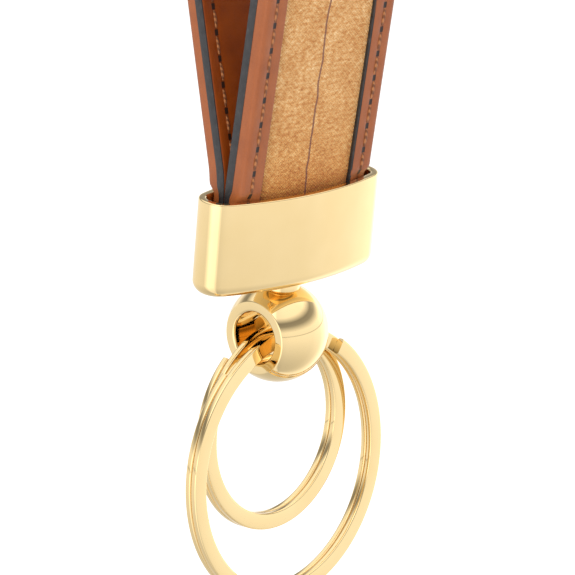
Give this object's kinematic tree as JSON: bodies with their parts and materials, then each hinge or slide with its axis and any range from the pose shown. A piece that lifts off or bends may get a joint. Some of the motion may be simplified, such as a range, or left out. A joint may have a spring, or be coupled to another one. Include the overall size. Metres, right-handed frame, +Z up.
{
  "type": "wristlet keychain",
  "caption": "Stitched leather and canvas wrist loop held in an oval gold collar, with a swivelling ball that carries split rings for keys.",
  "frame": {"origin": "inside of the loop's top, where a wrist or a hook carries it", "axes": "+Z up, the collar and rings hang below the origin; +X across the strap's width; -Y is the front half of the strap"},
  "size_m": [0.032, 0.0478, 0.1881],
  "materials": {
    "lining_leather": "smooth saddle leather with a dark painted edge",
    "border_leather": "smooth tan leather",
    "canvas": "mottled woven canvas with a thin dark line",
    "thread": "waxed sewing thread",
    "core": "plain stiffener sheet",
    "gold": "polished pale gold plate",
    "gold_ring": "polished pale gold plate",
    "steel": "plain steel"
  },
  "bodies": {
    "strap": {"leather_lining": "lining_leather", "core_board": "core", "canvas_panel": "canvas", "border_left": "border_leather", "border_right": "border_leather", "top_thread_left": "thread", "top_thread_right": "thread", "bobbin_thread_left": "thread", "bobbin_thread_right": "thread", "collar_shell": "gold", "grub_screws": "gold", "rivet_washer": "steel"},
    "swivel": {"ball_connector": "gold", "neck_spacer": "gold", "swivel_rivet": "steel"},
    "large_ring": {"large_split_ring": "gold_ring"},
    "small_ring": {"small_split_ring": "gold_ring"}
  },
  "joints": [
    {"name": "swivel_turn", "type": "hinge", "parent": "strap", "child": "swivel", "pos_m": [-0.00019, 0.00488, -0.15364], "axis": [0.0106, -0.1214, 0.9925], "continuous": true},
    {"name": "large_ring_swing", "type": "hinge", "parent": "swivel", "child": "large_ring", "pos_m": [-0.0001, 0.00389, -0.15404], "axis": [0.9962, 0.0872, 0], "range_deg": [-135, 1]},
    {"name": "small_ring_swing", "type": "hinge", "parent": "swivel", "child": "small_ring", "pos_m": [-0.00027, 0.00588, -0.15404], "axis": [0.9962, 0.0872, 0], "range_deg": [-1, 130]}
  ]
}
